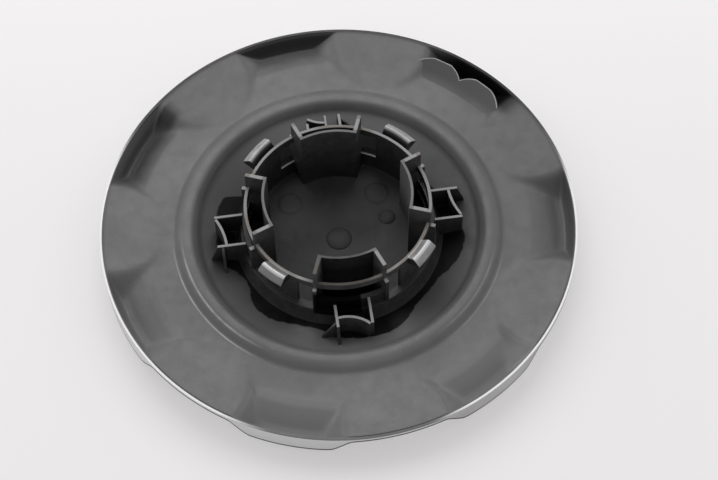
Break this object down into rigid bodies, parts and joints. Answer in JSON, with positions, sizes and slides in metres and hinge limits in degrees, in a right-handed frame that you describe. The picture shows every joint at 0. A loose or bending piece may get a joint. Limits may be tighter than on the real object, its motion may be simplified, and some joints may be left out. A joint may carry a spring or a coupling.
{
  "type": "wheel centre cap",
  "caption": "Round domed wheel centre cap with a scalloped rim and, on its back, a clip barrel with hooks that snaps into the wheel's hub bore.",
  "frame": {"origin": "centre of the flat of the face, on the surface that the cap lies on, face down", "axes": "+Z along the cap's axis, from the plated face to the clip barrel"},
  "size_m": [0.165, 0.165, 0.0312],
  "materials": {
    "coated_plastic": "bright plated front, matt grey coat on the back, bare black round the barrel's foot"
  },
  "bodies": {
    "root": {"centre_cap": "coated_plastic"}
  },
  "joints": []
}
